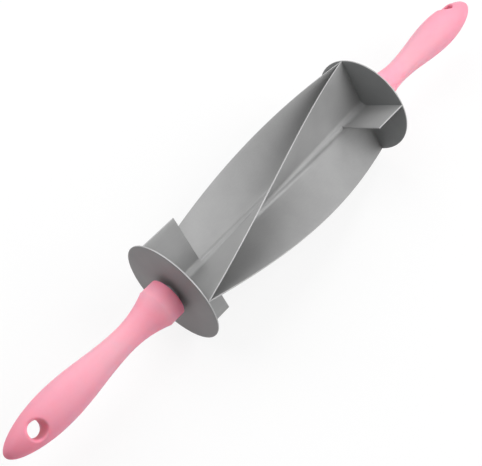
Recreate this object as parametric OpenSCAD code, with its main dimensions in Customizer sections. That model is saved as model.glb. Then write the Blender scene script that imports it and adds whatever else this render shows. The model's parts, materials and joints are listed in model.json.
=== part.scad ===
/* [Roller] */
// Diameter of the end discs and of the circle that the blades cut on
disc_d = 70; // [50:1:110]
// Sheet thickness of the end discs
disc_t = 1; // [0.5:0.1:2]
// Distance between the inner faces of the end discs
blade_span = 187; // [120:1:260]
// Sheet thickness of the blades and slit cutters
sheet_t = 0.8; // [0.5:0.1:1.5]
// Length of the slit cutters along the roller
slit_l = 25; // [10:1:60]
// Turn of the roller about its axis as it lies
roller_turn = 54; // [0:1:359]
// Flat steps along each twisted blade
blade_steps = 48; // [24:4:72]
// Room left for the weld between the rod and the sheet pieces
weld_gap = 0.05; // [0.02:0.01:0.2]

/* [Rod] */
// Diameter of the rod
rod_d = 6; // [4:0.1:7]
// Rod beyond the retaining clip
rod_end_l = 2.5; // [1:0.1:6]
// Chamfer on the rod ends
rod_chamfer = 0.5; // [0.1:0.1:1]
// Depth of the clip groove
groove_depth = 0.5; // [0.3:0.05:0.8]

/* [Bearings] */
// Running clearance between the rod and what turns on it, per side
run_gap = 0.05; // [0.02:0.01:0.1]
// End play of a handle, at each end of its bush
end_play = 0.25; // [0.1:0.05:0.5]
// Length of a bush without its flange
bush_l = 38; // [20:1:60]
// Outside diameter of a bush
bush_d = 11; // [10.6:0.1:12]
// Diameter of a bush's flange, between the collar and the thrust washer
flange_d = 14; // [13:0.5:20]
// Flange thickness of a bush
flange_t = 1.8; // [1:0.1:3]
// Glue line between a bush and its handle
bond_gap = 0.05; // [0.02:0.01:0.1]
// Diameter of the thrust washers
thrust_washer_d = 12; // [10:0.5:20]
// Diameter of the clip washers
clip_washer_d = 10; // [8:0.1:10.6]
// Thickness of the washers
washer_t = 1; // [0.5:0.1:1.5]
// Diameter of the retaining clips
clip_d = 10; // [9:0.1:10.6]
// Thickness of the retaining clips
clip_t = 0.7; // [0.5:0.05:1]
// Side clearance of a retaining clip in its groove
clip_gap = 0.05; // [0.02:0.01:0.1]

/* [Handles] */
// Length of a handle
handle_l = 124.5; // [115:0.5:160]
// Diameter of the collar next to the disc
collar_d = 25.4; // [22:0.1:30]
// Length of the straight part of the collar
collar_l = 10.5; // [6:0.5:20]
// Rounding of the collar's edge
collar_edge_r = 0.8; // [0.5:0.1:3]
// Rounding where the collar turns into the flare
shoulder_r = 4; // [2:0.5:12]
// Slope of the flare where it leaves the collar
flare_angle = 21.5; // [18:0.5:35]
// Diameter of the neck
neck_d = 15.4; // [14:0.1:17]
// Largest diameter of the grip
grip_d = 24; // [18:0.5:30]
// Distance from the collar's face to the largest diameter
grip_at = 87.5; // [75:0.5:100]
// Slimming of the tip, where 0 is an ellipse
tip_taper = 0.07; // [0:0.01:0.3]
// Room in the handle past the end of the rod
bore_room = 2; // [0.5:0.1:6]
// Diameter of the hanging hole
hole_d = 10; // [6:0.5:11]
// Distance from the tip to the middle of the hanging hole
hole_from_tip = 20; // [16:0.5:30]
// Length of the straight wall of the hanging hole
hole_wall = 15; // [8:0.5:16]
// Opening of the hanging hole's mouths, from the hole's own direction
mouth_angle = 10; // [5:1:45]
// Direction of the left handle's hanging hole
left_handle_turn = 124; // [0:1:359]
// Direction of the right handle's hanging hole
right_handle_turn = 47; // [0:1:359]

/* [Hidden] */
$fn = 96;
steel = [0.66, 0.66, 0.66];
spring_steel = [0.45, 0.46, 0.48];
pink = [0.96, 0.69, 0.75];
nylon = [0.2, 0.2, 0.21];

disc_r = disc_d / 2;
rod_r = rod_d / 2;
run_d = rod_d + 2 * run_gap;
weld_r = rod_r + weld_gap;

// The blades zigzag: two points on each disc, a quarter turn for each blade
blade_turn = 90;
blade_outer_r = sqrt(disc_r * disc_r - sheet_t * sheet_t / 4);
blade_edge_parts = 10;

// Places along the axis, counted from the outer face of a disc
bush_at = washer_t + end_play;
collar_at = bush_at + flange_t + bond_gap;
bush_end = bush_at + flange_t + bush_l;
clip_washer_at = bush_end + end_play;
clip_at = clip_washer_at + washer_t + clip_gap;
rod_end = clip_at + clip_t + clip_gap + rod_end_l;
disc_face = blade_span / 2 + disc_t;

// The shape of a retaining clip follows the rod
groove_r = rod_r - groove_depth;
clip_lug_r = groove_r + clip_gap;
clip_relief_r = rod_r + 0.2 * (clip_d / 2 - rod_r);
clip_lug_w = rod_r;
clip_mouth_w = 2 * groove_r;

// Places along a handle, counted from its collar face
shoulder_end = collar_l + shoulder_r * sin(flare_angle);
shoulder_end_r = collar_d / 2 - shoulder_r * (1 - cos(flare_angle));
neck_r = neck_d / 2;
neck_at = shoulder_end + 2 * (shoulder_end_r - neck_r) / tan(flare_angle);
grip_r = grip_d / 2;
hole_at = handle_l - hole_from_tip;
bore_depth = rod_end - collar_at + bore_room;

// Lays what is drawn along Z on the roller's axis, X, with angles from Y to Z
module along_axis() rotate([90, 0, 90]) children();

// Puts what is drawn outwards from a disc's outer face at the right or left end
module right_end() translate([disc_face, 0, 0]) along_axis() children();
module left_end() mirror([1, 0, 0]) right_end() children();

// Roller

// Outline of the rod's right half, from its groove to the middle of its end
function rod_end_outline() = [
  [rod_r, disc_face + clip_at - clip_gap],
  [groove_r, disc_face + clip_at - clip_gap],
  [groove_r, disc_face + clip_at + clip_t + clip_gap],
  [rod_r, disc_face + clip_at + clip_t + clip_gap],
  [rod_r, disc_face + rod_end - rod_chamfer],
  [rod_r - rod_chamfer, disc_face + rod_end],
  [0, disc_face + rod_end]
];

module axle_rod() color(steel) along_axis() rotate_extrude() {
  outline = rod_end_outline();
  polygon(concat(outline, [for (i = [len(outline) - 1:-1:0]) [outline[i][0], -outline[i][1]]]));
}

module end_disc() color(steel) translate([0, 0, -disc_t]) linear_extrude(disc_t) difference() {
  circle(r = disc_r);
  circle(r = weld_r);
}

module left_end_disc() left_end() end_disc();
module right_end_disc() right_end() end_disc();

// One blade from an angle on the left disc, turned one way or the other, kept in its own quarter
module twisted_blade(angle, way) color(steel) along_axis() rotate([0, 0, roller_turn + angle])
  translate([0, 0, -blade_span / 2]) intersection() {
    linear_extrude(blade_span, twist = -way * blade_turn, slices = blade_steps, segments = blade_edge_parts)
      translate([weld_r, -sheet_t / 2]) square([blade_outer_r - weld_r, sheet_t]);
    rotate([0, 0, (way - 1) / 2 * blade_turn]) cube([disc_d, disc_d, blade_span]);
  }

module upper_blade() twisted_blade(90, -1);
module front_blade() twisted_blade(90, 1);
module rear_blade() twisted_blade(270, 1);
module lower_blade() twisted_blade(270, -1);

// One slit cutter on the inner face of a disc
module slit_cutter(angle) color(steel) translate([0, 0, -disc_t - slit_l])
  rotate([0, 0, roller_turn + angle]) translate([weld_r, -sheet_t / 2, 0])
    cube([blade_outer_r - weld_r, sheet_t, slit_l]);

module left_upper_slit_cutter() left_end() slit_cutter(0);
module left_lower_slit_cutter() left_end() slit_cutter(180);
module right_upper_slit_cutter() right_end() slit_cutter(90);
module right_lower_slit_cutter() right_end() slit_cutter(270);

// Bearings

module washer(outer_d, at) color(steel) translate([0, 0, at]) linear_extrude(washer_t) difference() {
  circle(d = outer_d);
  circle(d = run_d);
}

module left_thrust_washer() left_end() washer(thrust_washer_d, 0);
module right_thrust_washer() right_end() washer(thrust_washer_d, 0);
module left_clip_washer() left_end() washer(clip_washer_d, clip_washer_at);
module right_clip_washer() right_end() washer(clip_washer_d, clip_washer_at);

module bush() color(nylon) translate([0, 0, bush_at]) difference() {
  union() {
    cylinder(d = flange_d, h = flange_t);
    cylinder(d = bush_d, h = flange_t + bush_l);
  }
  translate([0, 0, -1]) cylinder(d = run_d, h = flange_t + bush_l + 2);
}

module left_bush() left_end() bush();
module right_bush() right_end() bush();

// E-shaped clip: an open ring with three lugs that reach into the groove
module retaining_clip() color(spring_steel) translate([0, 0, clip_at]) linear_extrude(clip_t) difference() {
  union() {
    difference() {
      circle(d = clip_d);
      circle(r = clip_relief_r);
    }
    intersection() {
      circle(r = (clip_relief_r + clip_d / 2) / 2);
      union() {
        translate([-clip_d / 2, -clip_lug_w / 2]) square([clip_d, clip_lug_w]);
        translate([-clip_lug_w / 2, 0]) square([clip_lug_w, clip_d / 2]);
      }
    }
  }
  circle(r = clip_lug_r);
  translate([-clip_mouth_w / 2, -clip_d]) square([clip_mouth_w, clip_d]);
}

module left_retaining_clip() left_end() retaining_clip();
module right_retaining_clip() right_end() retaining_clip();

// Handles

// Outside of a handle from its collar face to its tip, as radius and distance
function collar_edge() = [
  for (a = [90:-30:0]) [
    collar_d / 2 - collar_edge_r * (1 - cos(a)),
    collar_edge_r * (1 - sin(a))
  ]
];
function shoulder() = [
  for (a = [0:flare_angle / 3:flare_angle]) [
    collar_d / 2 - shoulder_r * (1 - cos(a)),
    collar_l + shoulder_r * sin(a)
  ]
];
function flare() = [
  for (s = [1 / 8:1 / 8:1]) [
    neck_r + (shoulder_end_r - neck_r) * (1 - s) * (1 - s),
    shoulder_end + s * (neck_at - shoulder_end)
  ]
];
function swell() = [
  for (s = [1 / 12:1 / 12:1]) [
    neck_r + (grip_r - neck_r) * (1 - cos(180 * s)) / 2,
    neck_at + s * (grip_at - neck_at)
  ]
];
function tip() = [
  for (a = [7.5:7.5:82.5]) [
    grip_r * cos(a) * (1 - tip_taper * sin(a) * sin(a)),
    grip_at + (handle_l - grip_at) * sin(a)
  ]
];
// Inside of a handle: the blind bore for the bush and the rod's end
function handle_bore() = [
  [0, handle_l],
  [0, bore_depth],
  [bush_d / 2 + bond_gap, bore_depth],
  [bush_d / 2 + bond_gap, 0]
];

// Straight hole whose mouths open out
module hanging_hole() translate([0, 0, hole_at]) rotate([0, 90, 0]) {
  cylinder(d = hole_d, h = grip_d, center = true);
  for (side = [0, 180]) rotate([side, 0, 0]) translate([0, 0, hole_wall / 2])
    cylinder(r1 = hole_d / 2, r2 = hole_d / 2 + grip_r * tan(mouth_angle), h = grip_r);
}

module handle(turn) color(pink) translate([0, 0, collar_at]) rotate([0, 0, turn]) difference() {
  rotate_extrude() polygon(concat(collar_edge(), shoulder(), flare(), swell(), tip(), handle_bore()));
  hanging_hole();
}

module left_handle() left_end() handle(left_handle_turn);
module right_handle() right_end() handle(right_handle_turn);

axle_rod();
left_end_disc();
right_end_disc();
upper_blade();
front_blade();
rear_blade();
lower_blade();
left_upper_slit_cutter();
left_lower_slit_cutter();
right_upper_slit_cutter();
right_lower_slit_cutter();
left_handle();
right_handle();
left_bush();
right_bush();
left_thrust_washer();
right_thrust_washer();
left_clip_washer();
right_clip_washer();
left_retaining_clip();
right_retaining_clip();
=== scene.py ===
import json
import math

import bmesh
import bpy
import numpy as np
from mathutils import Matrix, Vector


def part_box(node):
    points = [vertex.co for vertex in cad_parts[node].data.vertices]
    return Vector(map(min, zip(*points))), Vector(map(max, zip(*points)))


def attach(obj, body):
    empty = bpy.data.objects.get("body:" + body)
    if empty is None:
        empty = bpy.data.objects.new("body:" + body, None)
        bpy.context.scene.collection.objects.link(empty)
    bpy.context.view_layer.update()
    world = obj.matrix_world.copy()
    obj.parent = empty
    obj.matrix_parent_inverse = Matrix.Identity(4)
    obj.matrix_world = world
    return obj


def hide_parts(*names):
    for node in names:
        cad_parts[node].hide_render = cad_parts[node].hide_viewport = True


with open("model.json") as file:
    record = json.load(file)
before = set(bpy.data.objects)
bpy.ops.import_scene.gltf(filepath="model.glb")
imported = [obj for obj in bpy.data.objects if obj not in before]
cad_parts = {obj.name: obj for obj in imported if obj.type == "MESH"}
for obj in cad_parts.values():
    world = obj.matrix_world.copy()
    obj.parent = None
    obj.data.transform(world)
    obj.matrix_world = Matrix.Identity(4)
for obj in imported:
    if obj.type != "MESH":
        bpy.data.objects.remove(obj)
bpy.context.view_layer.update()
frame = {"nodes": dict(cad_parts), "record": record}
MM = 0.001

# Camera, as the photograph shows the tool
PHOTO_SIZE = (482, 466)
CAMERA_PLACE = (-0.2662, -0.1957, 0.4434)
CAMERA_AZIMUTH = math.radians(-50.05)
CAMERA_ELEVATION = math.radians(56.0)
CAMERA_FOCAL_PIXELS = 886.3
CAMERA_SENSOR = 36
CAMERA_NEAR = 0.01

# Sizes of the roller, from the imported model
disc_low, disc_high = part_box("right_end_disc")
DISC_R = (disc_high.z - disc_low.z) / 2
DISC_T = disc_high.x - disc_low.x
HALF_SPAN = disc_low.x
slit_low, slit_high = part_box("right_upper_slit_cutter")
SLIT_L = slit_high.x - slit_low.x
rod_low, rod_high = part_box("axle_rod")
ROD_R = (rod_high.z - rod_low.z) / 2
# Turns in degrees, and the sheet with its rounded cut edge
ROLLER_TURN = 54
BLADE_TURN = 90
SHEET_T = 0.8 * MM
EDGE_R = 0.2 * MM
# Sheet pieces reach this far into the rod, where they are welded, and the welds are this round
WELD_DEPTH = 0.1 * MM
WELD_R = 3.0 * MM

# Sizes of a handle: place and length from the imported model, the rest as designed, with a crisper shoulder
handle_low, handle_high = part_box("right_handle")
COLLAR_FACE = handle_low.x
HANDLE_L = handle_high.x - handle_low.x
COLLAR_R = 12.7 * MM
COLLAR_L = 10.5 * MM
COLLAR_EDGE_R = 0.8 * MM
SHOULDER_R = 0.5 * MM
FLARE_ANGLE = math.radians(21.5)
NECK_R = 7.7 * MM
GRIP_R = 12 * MM
GRIP_AT = 87.5 * MM
TIP_TAPER = 0.07
BUSH_BORE_R = 5.55 * MM
BORE_DEPTH = 44.5 * MM
# Mouth of the hanging hole: where it starts to open, how softly, and the rounding of its rim
MOUTH_AT = 7.5 * MM
MOUTH_SLOPE = math.tan(math.radians(7))
MOUTH_SOFTNESS = 1.0 * MM
RIM_ROUNDING = 1.2 * MM
# Where the rim is looked for, below and above the start of the mouth and out of the hole
RIM_BELOW = 4 * MM
RIM_ABOVE = 6 * MM
RIM_OUT = 6 * MM
# Wall of the hole that is laid out together with its mouth
MOUTH_WALL = 3 * MM
# Points around a handle, and half the patch of its skin that is laid out around its hole
HANDLE_SEGMENTS = 96
PATCH_SEGMENTS = 14
PATCH_REACH = 9.5 * MM

# Meshes: points nearer than this are one, and edges sharper than this stay sharp
MERGE_DISTANCE = 1e-7
SHARP_ANGLE = math.radians(40)

mounts = {mount["name"]: mount for mount in frame["record"]["mounts"]}

# Steel: features a metre of its clouds and grain, how the grain is stretched, and its relief
STEEL_CLOUDS = 60
STEEL_GRAIN = 90
GRAIN_DETAIL = 4
ROLLED_GRAIN = (1, 30, 30)
GROUND_GRAIN = (30, 30, 30)
SPRING_GRAIN = (20, 20, 20)
STEEL_RELIEF = 0.02 * MM
STEEL_RELIEF_STRENGTH = 0.08
METAL_SHARE = 0.25
SATIN = (0.5, 0.6)

# Pink along a handle, by distance from its collar face, holding painted light and shade: deeper at both
# ends as painted shade, paler on the neck as painted light and on the ridge as a painted highlight
FLARE_MIDDLE = 18 * MM
NECK_MIDDLE = 44 * MM
PINK_WITH_PAINTED_LIGHT = (
    (0.0, (0.98, 0.235, 0.355)),
    (COLLAR_L, (0.99, 0.37, 0.485)),
    (FLARE_MIDDLE, (0.99, 0.315, 0.43)),
    (NECK_MIDDLE, (0.85, 0.375, 0.47)),
    (GRIP_AT, (0.85, 0.31, 0.42)),
    (HANDLE_L, (0.86, 0.225, 0.335)),
)
# Plastics: features a metre, relief, range of tones and of roughness, and depth of scattering
PINK_CLOUDS = 45
PINK_CLOUDING = (0.97, 1.0)
PINK_TEXTURE = 1500
PINK_ROUGHNESS = (0.60, 0.70)
PINK_RELIEF = 0.05 * MM
PINK_RELIEF_STRENGTH = 0.05
PINK_SCATTER = 1.5 * MM
PINK_SCATTER_COLOURS = (1.0, 0.2, 0.25)
NYLON_CLOUDS = 300
# The near-black tones of the bush also paint the shade in the gap by the collar
NYLON_TONES = (0.025, 0.04)
NYLON_ROUGHNESS = (0.6, 0.7)
NYLON_SHINE = 0.15

# Floor under the discs: half its side, its shade as it lights the tool and as it shows
FLOOR_Z = disc_low.z
FLOOR_HALF = 20.0
FLOOR_BOUNCE = 0.8
FLOOR_SHADE = 0.9
# Share of plain white in what the floor shows, which grows over these distances from the tool's middle
FLOOR_WHITE = (0.85, 1.0)
FLOOR_FADE = (0.25, 0.9)

# Light: strength of the surroundings, and lamps by name, direction, side in metres and watts
SKY_LIGHT = 0.15
LAMP_DISTANCE = 1.2
LAMPS = (
    ("front", (0.44, -0.60, 0.67), 0.9, 10.0),
    ("back", (-0.08, 0.65, 0.76), 1.4, 14.0),
    ("low_front", (0.1, -0.90, 0.42), 0.9, 1.5),
    ("right", (0.85, 0.0, 0.53), 0.9, 2.5),
)


# Materials

def new_material(name, roughness, metallic=0.0):
    """A principled material with a plain roughness, which its nodes may vary, its links and its shader."""
    material = bpy.data.materials.new(name)
    material.use_nodes = True
    nodes, links = material.node_tree.nodes, material.node_tree.links
    shader = nodes["Principled BSDF"]
    shader.inputs["Roughness"].default_value = roughness
    shader.inputs["Metallic"].default_value = metallic
    return material, nodes, links, shader


def noise(nodes, links, scale, detail=2, stretch=(1, 1, 1)):
    """Noise in the object's own space, in features a metre, stretched along its axes."""
    place = nodes.new("ShaderNodeTexCoord")
    mapping = nodes.new("ShaderNodeMapping")
    mapping.inputs["Scale"].default_value = stretch
    texture = nodes.new("ShaderNodeTexNoise")
    texture.inputs["Scale"].default_value = scale
    texture.inputs["Detail"].default_value = detail
    links.new(place.outputs["Object"], mapping.inputs["Vector"])
    links.new(mapping.outputs["Vector"], texture.inputs["Vector"])
    return texture.outputs["Fac"]


def ramp(nodes, links, factor, low, high, spread=(0.3, 0.7)):
    """A colour or grey value from low to high over the middle of a factor."""
    blend = nodes.new("ShaderNodeValToRGB")
    for stop, place, value in zip(blend.color_ramp.elements, spread, (low, high)):
        stop.position = place
        stop.color = (*value, 1) if isinstance(value, tuple) else (value, value, value, 1)
    links.new(factor, blend.inputs["Fac"])
    return blend.outputs["Color"]


def map_range(nodes, links, value, source, target, interpolation="LINEAR"):
    """A value carried over from one range to another."""
    carry = nodes.new("ShaderNodeMapRange")
    carry.interpolation_type = interpolation
    for name, number in zip(("From Min", "From Max", "To Min", "To Max"), (*source, *target)):
        carry.inputs[name].default_value = number
    links.new(value, carry.inputs["Value"])
    return carry.outputs["Result"]


def mix_colours(nodes, links, first, second, factor, blend_type="MIX"):
    """Two colours, mixed or multiplied by a factor."""
    colour = nodes.new("ShaderNodeMix")
    colour.data_type = "RGBA"
    colour.blend_type = blend_type
    colour.inputs["Factor"].default_value = factor
    links.new(first, colour.inputs["A"])
    links.new(second, colour.inputs["B"])
    return colour.outputs["Result"]


def bump(nodes, links, shader, height, strength, distance):
    """Fine relief from a height, in metres at full height."""
    relief = nodes.new("ShaderNodeBump")
    relief.inputs["Strength"].default_value = strength
    relief.inputs["Distance"].default_value = distance
    links.new(height, relief.inputs["Height"])
    links.new(relief.outputs["Normal"], shader.inputs["Normal"])


def steel(name, dark, light, roughness=SATIN, grain=ROLLED_GRAIN, metal_share=METAL_SHARE):
    """Satin steel with its grain, faint clouding and uneven gloss."""
    material, nodes, links, shader = new_material(name, roughness[0], metal_share)
    clouds = noise(nodes, links, STEEL_CLOUDS)
    fine = noise(nodes, links, STEEL_GRAIN, GRAIN_DETAIL, grain)
    cloud_tone = ramp(nodes, links, clouds, dark, light)
    grain_tone = ramp(nodes, links, fine, dark, light)
    links.new(mix_colours(nodes, links, cloud_tone, grain_tone, 0.5), shader.inputs["Base Color"])
    links.new(ramp(nodes, links, fine, *roughness), shader.inputs["Roughness"])
    bump(nodes, links, shader, fine, STEEL_RELIEF_STRENGTH, STEEL_RELIEF)
    return material


def along_handle(nodes, links, tones):
    """A colour that changes along a handle, from tones by their distance from its collar face; for the pink
    these tones paint light and shade.
    """
    place = nodes.new("ShaderNodeTexCoord")
    axes = nodes.new("ShaderNodeSeparateXYZ")
    links.new(place.outputs["Object"], axes.inputs["Vector"])
    outward = nodes.new("ShaderNodeMath")
    outward.operation = "ABSOLUTE"
    links.new(axes.outputs["X"], outward.inputs[0])
    handle_span = (COLLAR_FACE, COLLAR_FACE + HANDLE_L)
    share = map_range(nodes, links, outward.outputs[0], handle_span, (0, 1))
    blend = nodes.new("ShaderNodeValToRGB")
    stops = blend.color_ramp.elements
    for distance, painted_light_tone in tones[1:-1]:
        stops.new(distance / HANDLE_L)
    for stop, (distance, painted_light_tone) in zip(stops, tones):
        stop.color = (*painted_light_tone, 1)
    links.new(share, blend.inputs["Fac"])
    return blend.outputs["Color"]


def pink_plastic():
    """Satin moulded plastic, slightly translucent, with the faint texture of its mould, and painted light
    and shade along each handle.
    """
    material, nodes, links, shader = new_material("pink_plastic", roughness=0.65)
    clouds = noise(nodes, links, PINK_CLOUDS)
    fine = noise(nodes, links, PINK_TEXTURE)
    # Tone along the handle: painted shade at the collar and tip, painted light on the neck, a painted
    # highlight on the ridge
    painted_light_tone = along_handle(nodes, links, PINK_WITH_PAINTED_LIGHT)
    clouding = ramp(nodes, links, clouds, *PINK_CLOUDING)
    links.new(mix_colours(nodes, links, painted_light_tone, clouding, 1.0, "MULTIPLY"), shader.inputs["Base Color"])
    links.new(ramp(nodes, links, fine, *PINK_ROUGHNESS), shader.inputs["Roughness"])
    shader.inputs["Specular IOR Level"].default_value = 1.0
    shader.inputs["Subsurface Weight"].default_value = 1.0
    shader.inputs["Subsurface Radius"].default_value = PINK_SCATTER_COLOURS
    shader.inputs["Subsurface Scale"].default_value = PINK_SCATTER
    bump(nodes, links, shader, fine, PINK_RELIEF_STRENGTH, PINK_RELIEF)
    return material


def bush_nylon():
    """Black nylon, waxy and slightly mottled, whose black also paints the shade in the gap between collar
    and disc.
    """
    material, nodes, links, shader = new_material("bush_nylon", roughness=0.5)
    clouds = noise(nodes, links, NYLON_CLOUDS)
    links.new(ramp(nodes, links, clouds, *NYLON_TONES), shader.inputs["Base Color"])
    links.new(ramp(nodes, links, clouds, *NYLON_ROUGHNESS), shader.inputs["Roughness"])
    shader.inputs["Specular IOR Level"].default_value = NYLON_SHINE
    return material


SHEET_STEEL = steel("sheet_steel", 0.27, 0.32)
# Disc steel is the sheet steel painted darker: painted shade on the discs, whose faces turn away from most
# of the light
SHADED_DISC_STEEL = steel("shaded_disc_steel", (0.213, 0.218, 0.219), (0.253, 0.258, 0.259), metal_share=0.0)
# Cut edges in brighter steel, which also paints a highlight along every edge
EDGE_STEEL_AND_HIGHLIGHT = steel("edge_steel_and_highlight", 0.38, 0.43, roughness=(0.45, 0.55))
ROD_STEEL = steel("rod_steel", 0.27, 0.32, grain=GROUND_GRAIN)
SPRING_STEEL = steel("spring_steel", 0.10, 0.14, roughness=(0.35, 0.45), grain=SPRING_GRAIN)
PINK_PLASTIC = pink_plastic()
BUSH_NYLON_AND_GAP_SHADE = bush_nylon()


# Meshes

def new_piece(name, points, faces, body, materials, edge_faces=()):
    """A mesh object from points and faces, smooth but for its sharp edges, riding on a body."""
    mesh = bpy.data.meshes.new(name)
    mesh.from_pydata([tuple(point) for point in points], [], faces)
    for material in materials:
        mesh.materials.append(material)
    for index in edge_faces:
        mesh.polygons[index].material_index = 1
    work = bmesh.new()
    work.from_mesh(mesh)
    bmesh.ops.remove_doubles(work, verts=work.verts, dist=MERGE_DISTANCE)
    bmesh.ops.recalc_face_normals(work, faces=work.faces)
    work.to_mesh(mesh)
    work.free()
    mesh.shade_smooth()
    mesh.set_sharp_from_angle(angle=SHARP_ANGLE)
    piece = bpy.data.objects.new(name, mesh)
    bpy.context.scene.collection.objects.link(piece)
    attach(piece, body)
    return piece


def loops_to_faces(loops):
    """Quads between neighbouring closed loops of point numbers."""
    return [
        (near[j - 1], near[j], far[j], far[j - 1])
        for near, far in zip(loops, loops[1:]) for j in range(len(near))
    ]


def numbered_loops(count, per_loop, first=0):
    """Point numbers of so many loops, one after the other."""
    return [list(range(first + i * per_loop, first + (i + 1) * per_loop)) for i in range(count)]


def on_axis(angle, x, radius, side=0.0):
    """The point at a radius from the axis, in a direction turned from Y to Z, and beside that direction."""
    return np.array([
        x,
        radius * math.cos(angle) - side * math.sin(angle),
        radius * math.sin(angle) + side * math.cos(angle),
    ])


def lathe_points(outline, segments, side, start=0.0):
    """Points of an outline of (radius, distance along X), turned about the axis at one end of the tool."""
    turn = start + np.linspace(0, 2 * math.pi, segments, endpoint=False)
    return [on_axis(a, side * x, r) for r, x in outline for a in turn]


# Sheet pieces

def sheet_section(weld_steps=7, radial_steps=10, round_steps=4):
    """Closed outline of a sheet's cross-section, as (radius, side), and which of its sides are the edge.

    Its root has a hollow weld on both faces, which runs out into the rod and into the sheet.
    """
    half = SHEET_T / 2
    centre_side = half + WELD_R
    centre_out = math.sqrt((ROD_R + WELD_R) ** 2 - centre_side ** 2)
    at_rod = math.atan2(-centre_side, -centre_out)
    front = [
        (centre_out + WELD_R * math.cos(a), centre_side + WELD_R * math.sin(a))
        for a in np.linspace(at_rod, -math.pi / 2, weld_steps)
    ]
    sunk = 1 - WELD_DEPTH / ROD_R
    front.insert(0, (front[0][0] * sunk, front[0][1] * sunk))
    flat_end = DISC_R - EDGE_R
    front += [(r, half) for r in np.linspace(centre_out, flat_end, radial_steps)[1:]]
    edge_from = len(front)
    for a in np.linspace(0, math.pi / 2, round_steps)[1:]:
        front.append((flat_end + EDGE_R * math.sin(a), half - EDGE_R * (1 - math.cos(a))))
    section = front + [(r, -s) for r, s in reversed(front)]
    edge_sides = range(edge_from, len(section) - edge_from + 1)
    return section, edge_sides


def kept_in_quarter(point, start, way):
    """The point, moved onto the face of its quarter of the roller if it lies outside it."""
    for angle, inward in ((start, way), (start + way * math.radians(BLADE_TURN), -way)):
        normal = inward * np.array([0, -math.sin(angle), math.cos(angle)])
        point = point - min(0.0, point @ normal) * normal
    return point


def sheet_piece(name, rings, edge_sides):
    """A closed sheet piece from its cross-sections along the roller, with a bright cut edge that holds a
    painted highlight.
    """
    per_loop = len(rings[0])
    loops = numbered_loops(len(rings), per_loop)
    faces = loops_to_faces(loops)
    edge_faces = [i for i in range(len(faces)) if i % per_loop in edge_sides]
    faces += [tuple(loops[0]), tuple(loops[-1])]
    points = [point for ring in rings for point in ring]
    piece = new_piece(
        name + "_sheet", points, faces, "roller", (SHEET_STEEL, EDGE_STEEL_AND_HIGHLIGHT), edge_faces)
    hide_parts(name)


def make_blade(name, start_degrees, way, steps=96):
    """A twisted blade from an angle on the left disc, a quarter turn one way or the other."""
    start = math.radians(ROLLER_TURN + start_degrees)
    section, edge_sides = sheet_section()
    rings = []
    for share in np.linspace(0, 1, steps + 1):
        angle = start + way * share * math.radians(BLADE_TURN)
        x = (2 * share - 1) * HALF_SPAN
        rings.append([kept_in_quarter(on_axis(angle, x, r, s), start, way) for r, s in section])
    sheet_piece(name, rings, edge_sides)


def make_slit_cutter(name, side, angle_degrees, steps=6):
    """A flat radial plate on the inner face of a disc."""
    angle = math.radians(ROLLER_TURN + angle_degrees)
    section, edge_sides = sheet_section()
    places = side * np.linspace(HALF_SPAN - SLIT_L, HALF_SPAN, steps + 1)
    sheet_piece(name, [[on_axis(angle, x, r, s) for r, s in section] for x in places], edge_sides)


def make_disc(name, side, segments=192, flat_steps=12, arc_steps=5):
    """A flat end disc with softened edges, in darker steel as painted shade, and a bright cut rim that
    holds a painted highlight.
    """
    arc = np.linspace(0, math.pi / 2, arc_steps)
    inner, outer = HALF_SPAN, HALF_SPAN + DISC_T
    flat_end = DISC_R - EDGE_R
    flat = np.linspace(ROD_R - WELD_DEPTH, flat_end, flat_steps)
    face = [(r, inner) for r in flat]
    rim = [(flat_end + EDGE_R * math.sin(a), inner + EDGE_R * (1 - math.cos(a))) for a in arc[1:]]
    rim += [(flat_end + EDGE_R * math.cos(a), outer - EDGE_R * (1 - math.sin(a))) for a in arc]
    back = [(r, outer) for r in flat[::-1]]
    outline = face + rim[:-1] + back + face[:1]
    faces = loops_to_faces(numbered_loops(len(outline), segments))
    flat_rim = len(face) + len(arc) - 2
    rim_faces = range(flat_rim * segments, (flat_rim + 1) * segments)
    disc = new_piece(
        name + "_plate", lathe_points(outline, segments, side), faces, "roller",
        (SHADED_DISC_STEEL, EDGE_STEEL_AND_HIGHLIGHT), rim_faces)
    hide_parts(name)


# Handles

def handle_outline(arc_steps=7, collar_steps=9, flare_steps=19, swell_steps=41, tip_steps=49):
    """Outside of a handle from its collar face to its tip, as (radius, distance)."""
    edge = [
        (COLLAR_R - COLLAR_EDGE_R * (1 - math.sin(a)), COLLAR_EDGE_R * (1 - math.cos(a)))
        for a in np.linspace(0, math.pi / 2, arc_steps)
    ]
    collar = [(COLLAR_R, d) for d in np.linspace(COLLAR_EDGE_R, COLLAR_L, collar_steps)[1:-1]]
    shoulder = [
        (COLLAR_R - SHOULDER_R * (1 - math.cos(a)), COLLAR_L + SHOULDER_R * math.sin(a))
        for a in np.linspace(0, FLARE_ANGLE, arc_steps)
    ]
    shoulder_r, shoulder_at = shoulder[-1]
    neck_at = shoulder_at + 2 * (shoulder_r - NECK_R) / math.tan(FLARE_ANGLE)
    flare = [
        (NECK_R + (shoulder_r - NECK_R) * (1 - s) ** 2, shoulder_at + s * (neck_at - shoulder_at))
        for s in np.linspace(0, 1, flare_steps)[1:]
    ]
    swell = [
        (NECK_R + (GRIP_R - NECK_R) * (1 - math.cos(math.pi * s)) / 2, neck_at + s * (GRIP_AT - neck_at))
        for s in np.linspace(0, 1, swell_steps)[1:]
    ]
    tip = [
        (
            GRIP_R * math.cos(a) * (1 - TIP_TAPER * math.sin(a) ** 2),
            GRIP_AT + (HANDLE_L - GRIP_AT) * math.sin(a),
        )
        for a in np.linspace(0, math.pi / 2, tip_steps)[1:]
    ]
    return edge + collar + shoulder + flare + swell + tip


def handle_bore():
    """Inside of a handle, from the end of its blind bore out to its collar face."""
    return [(0.0, BORE_DEPTH), (BUSH_BORE_R, BORE_DEPTH), (BUSH_BORE_R, 0.0)]


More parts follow.
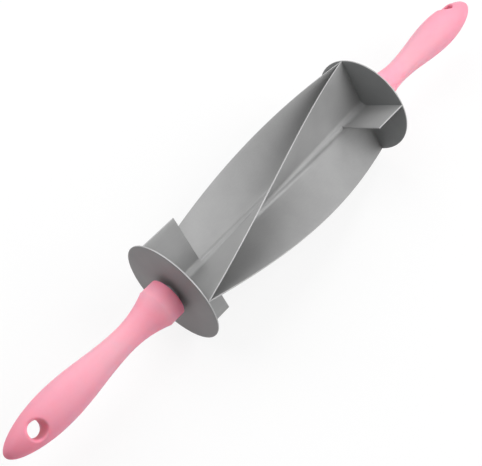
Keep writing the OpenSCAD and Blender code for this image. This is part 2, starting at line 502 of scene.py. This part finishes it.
def rim_of_mouth(hole_r, skin_height, heights=600, distances=400, arc_steps=7, wall_steps=9):
    """Rounded rim between the opening mouth and the skin, in one direction out of the hole's middle.

    Gives the rim's points as (distance from the hole's own line, height), from the skin inwards.
    """
    height = np.linspace(MOUTH_AT - RIM_BELOW, MOUTH_AT + RIM_ABOVE, heights)
    over = height - MOUTH_AT
    root = np.sqrt(over ** 2 + MOUTH_SOFTNESS ** 2)
    opening = hole_r + MOUTH_SLOPE * (root + over) / 2
    slope = MOUTH_SLOPE * (over / root + 1) / 2
    size = np.sqrt(1 + slope ** 2)
    centre_out = opening + RIM_ROUNDING / size
    centre_up = height - RIM_ROUNDING * slope / size
    skin_out = np.linspace(hole_r, hole_r + RIM_OUT, distances)
    skin_up = skin_height(skin_out)
    gap = np.hypot(skin_out[None, :] - centre_out[:, None], skin_up[None, :] - centre_up[:, None])
    nearest = gap.min(axis=1)
    at = int(np.argmax(nearest <= RIM_ROUNDING))
    touch = int(gap[at].argmin())
    first = math.atan2(skin_up[touch] - centre_up[at], skin_out[touch] - centre_out[at])
    last = math.atan2(slope[at], -1.0)
    arc = [
        (centre_out[at] + RIM_ROUNDING * math.cos(a), centre_up[at] + RIM_ROUNDING * math.sin(a))
        for a in np.linspace(first, last, arc_steps)
    ]
    wall_up = np.linspace(height[at], MOUTH_AT - MOUTH_WALL, wall_steps)[1:]
    wall = [(float(np.interp(h, height, opening)), float(h)) for h in wall_up]
    return arc + wall


def patch_border(first_row, last_row):
    """Places, as (row, point of the row), around the patch of skin at a hole, in order."""
    half = PATCH_SEGMENTS
    border = [(first_row, j) for j in range(-half, half)]
    border += [(row, half) for row in range(first_row, last_row)]
    border += [(last_row, j) for j in range(half, -half, -1)]
    border += [(row, -half) for row in range(last_row, first_row, -1)]
    return border


def mouth_column(along, across, hole_r, skin_height, skin_steps=9):
    """Points from a place on a patch's border over the rim, through the hole and out at the other side."""
    reach = math.hypot(along, across)
    ahead, aside = along / reach, across / reach

    def height_at(out):
        """Height of the skin at a distance out of the hole's middle, in this direction."""
        return skin_height(out * ahead, out * aside)

    rim = rim_of_mouth(hole_r, height_at)
    skin_out = [reach + share * (rim[0][0] - reach) for share in np.linspace(0, 1, skin_steps)[1:-1]]
    column = [(out, float(height_at(out))) for out in skin_out] + rim
    lowest_out, lowest_up = column[-1]
    column += [(lowest_out, lowest_up / 2), (lowest_out, 0.0)]
    column += [(out, -up) for out, up in column[-2::-1]]
    return [(out * ahead, out * aside, up) for out, up in column]


def make_handle(name, side):
    """A turned handle with its bore, and a hanging hole through its tip with soft mouths."""
    mount = mounts[name.replace("handle", "hanging_hole")]
    hole_r = mount["dims"]["r_mm"] * MM
    hole_at = abs(mount["pos_m"][0]) - COLLAR_FACE
    turn = math.atan2(mount["axis"][2], mount["axis"][1])
    inside = handle_bore()
    outside = handle_outline()
    outline = inside + outside
    skin_r, skin_at = zip(*outside)
    count, half = HANDLE_SEGMENTS, PATCH_SEGMENTS

    def skin_height(along, across):
        """Height of the skin above the handle's axis, at a place seen from the hole's middle."""
        radius = np.interp(hole_at + along, skin_at, skin_r)
        return np.sqrt(np.maximum(radius ** 2 - across ** 2, 0))

    rows = [i for i, (r, d) in enumerate(outline) if i >= len(inside) and abs(d - hole_at) < PATCH_REACH]
    first_row, last_row = rows[0], rows[-1]

    def in_patch(row, j):
        """Whether a face of the skin lies in the patch around one of the hole's two mouths."""
        near = (j + half) % count < 2 * half
        far = (j + half - count // 2) % count < 2 * half
        return first_row <= row < last_row and (near or far)

    points = lathe_points([(r, COLLAR_FACE + d) for r, d in outline], count, side, turn)
    loops = numbered_loops(len(outline), count)
    faces = [
        (loops[i][j], loops[i][(j + 1) % count], loops[i + 1][(j + 1) % count], loops[i + 1][j])
        for i in range(len(outline) - 1) for j in range(count) if not in_patch(i, j)
    ]
    border = patch_border(first_row, last_row)
    columns = []
    for row, j in border:
        r, d = outline[row]
        across = r * math.sin(2 * math.pi * j / count)
        columns.append(mouth_column(d - hole_at, across, hole_r, skin_height))
    mouth_loops = numbered_loops(len(columns[0]), len(border), len(points))
    points += [
        on_axis(turn, side * (COLLAR_FACE + hole_at + along), up, across)
        for loop in zip(*columns) for along, across, up in loop
    ]
    near_loop = [loops[row][j % count] for row, j in border]
    far_loop = [loops[row][(count // 2 - j) % count] for row, j in border]
    faces += loops_to_faces([near_loop] + mouth_loops + [far_loop])
    handle = new_piece(name + "_moulding", points, faces, name, (PINK_PLASTIC,))
    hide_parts(name)


# Blades by name, angle on the left disc in degrees and way of their twist
for name, start, way in (
    ("upper_blade", 90, -1), ("front_blade", 90, 1), ("rear_blade", 270, 1), ("lower_blade", 270, -1),
):
    make_blade(name, start, way)
# Slit cutters by name, end of the tool and angle in degrees
for name, side, angle in (
    ("left_upper_slit_cutter", -1, 0), ("left_lower_slit_cutter", -1, 180),
    ("right_upper_slit_cutter", 1, 90), ("right_lower_slit_cutter", 1, 270),
):
    make_slit_cutter(name, side, angle)
# Discs and handles at both ends
for end, side in (("left", -1), ("right", 1)):
    make_disc(end + "_end_disc", side)
    make_handle(end + "_handle", side)


# Finish of the pieces that keep their modelled shape

def dress(node, material):
    """Gives a modelled piece its finish."""
    node.data.materials.clear()
    node.data.materials.append(material)


dress(frame["nodes"]["axle_rod"], ROD_STEEL)
for end in ("left", "right"):
    dress(frame["nodes"][end + "_thrust_washer"], ROD_STEEL)
    dress(frame["nodes"][end + "_clip_washer"], ROD_STEEL)
    dress(frame["nodes"][end + "_retaining_clip"], SPRING_STEEL)
    dress(frame["nodes"][end + "_bush"], BUSH_NYLON_AND_GAP_SHADE)


# Floor, lights and camera

def shown_ray(nodes, links):
    """1 where the camera sees the surface, also in metal or glass, and 0 where it lights the tool."""
    path = nodes.new("ShaderNodeLightPath")
    shown = path.outputs["Is Camera Ray"]
    for kind in ("Is Glossy Ray", "Is Transmission Ray"):
        either = nodes.new("ShaderNodeMath")
        either.operation = "MAXIMUM"
        links.new(shown, either.inputs[0])
        links.new(path.outputs[kind], either.inputs[1])
        shown = either.outputs[0]
    return shown


def matt(nodes, shade):
    """A matt grey shader."""
    shader = nodes.new("ShaderNodeBsdfDiffuse")
    shader.inputs["Color"].default_value = (shade, shade, shade, 1)
    return shader.outputs["BSDF"]


def mix_shaders(nodes, links, factor, first, second):
    """The first shader where a factor is 0, and the second where it is 1."""
    mix = nodes.new("ShaderNodeMixShader")
    links.new(factor, mix.inputs["Fac"])
    links.new(first, mix.inputs[1])
    links.new(second, mix.inputs[2])
    return mix.outputs["Shader"]


def floor_material():
    """Pale and matt with a soft shadow by the tool, plain white farther out, and clear from below."""
    material = bpy.data.materials.new("floor")
    material.use_nodes = True
    nodes, links = material.node_tree.nodes, material.node_tree.links
    nodes.remove(nodes["Principled BSDF"])
    place = nodes.new("ShaderNodeTexCoord")
    reach = nodes.new("ShaderNodeVectorMath")
    reach.operation = "LENGTH"
    links.new(place.outputs["Object"], reach.inputs[0])
    fade = map_range(nodes, links, reach.outputs["Value"], FLOOR_FADE, FLOOR_WHITE, "SMOOTHSTEP")
    white = nodes.new("ShaderNodeEmission")
    white.inputs["Strength"].default_value = 1.0
    look = mix_shaders(nodes, links, fade, matt(nodes, FLOOR_SHADE), white.outputs["Emission"])
    upper = mix_shaders(nodes, links, shown_ray(nodes, links), matt(nodes, FLOOR_BOUNCE), look)
    side = nodes.new("ShaderNodeNewGeometry")
    clear = nodes.new("ShaderNodeBsdfTransparent")
    both = mix_shaders(nodes, links, side.outputs["Backfacing"], upper, clear.outputs["BSDF"])
    links.new(both, nodes["Material Output"].inputs["Surface"])
    return material


def make_floor():
    """A wide flat floor that the discs stand on."""
    mesh = bpy.data.meshes.new("floor")
    half = FLOOR_HALF
    mesh.from_pydata(
        [(-half, -half, FLOOR_Z), (half, -half, FLOOR_Z), (half, half, FLOOR_Z), (-half, half, FLOOR_Z)],
        [], [(0, 1, 2, 3)])
    mesh.materials.append(floor_material())
    floor = bpy.data.objects.new("floor", mesh)
    bpy.context.scene.collection.objects.link(floor)


def make_world():
    """Even soft light from all around, which shows as white."""
    world = bpy.data.worlds.new("studio")
    bpy.context.scene.world = world
    world.use_nodes = True
    nodes, links = world.node_tree.nodes, world.node_tree.links
    background = nodes["Background"]
    background.inputs["Color"].default_value = (1, 1, 1, 1)
    strength = map_range(nodes, links, shown_ray(nodes, links), (0, 1), (SKY_LIGHT, 1))
    links.new(strength, background.inputs["Strength"])


def make_light(name, direction, size, watts):
    """A soft square lamp that faces the middle of the tool."""
    lamp = bpy.data.lights.new(name, "AREA")
    lamp.size = size
    lamp.energy = watts
    light = bpy.data.objects.new(name, lamp)
    bpy.context.scene.collection.objects.link(light)
    towards = Vector(direction).normalized()
    light.location = towards * LAMP_DISTANCE
    light.rotation_mode = "QUATERNION"
    light.rotation_quaternion = (-towards).to_track_quat("-Z", "Y")


def make_camera():
    """The photograph's own view of the tool."""
    camera = bpy.data.objects.new("camera", bpy.data.cameras.new("camera"))
    bpy.context.scene.collection.objects.link(camera)
    back = Vector((
        math.sin(CAMERA_AZIMUTH) * math.cos(CAMERA_ELEVATION),
        -math.cos(CAMERA_AZIMUTH) * math.cos(CAMERA_ELEVATION),
        math.sin(CAMERA_ELEVATION),
    ))
    camera.location = CAMERA_PLACE
    camera.rotation_mode = "QUATERNION"
    camera.rotation_quaternion = (-back).to_track_quat("-Z", "Y")
    camera.data.sensor_width = CAMERA_SENSOR
    camera.data.lens = CAMERA_FOCAL_PIXELS * CAMERA_SENSOR / max(PHOTO_SIZE)
    camera.data.clip_start = CAMERA_NEAR
    bpy.context.scene.camera = camera


make_floor()
make_world()
for name, direction, size, watts in LAMPS:
    make_light(name, direction, size, watts)
make_camera()
bpy.context.scene.view_settings.view_transform = "Standard"
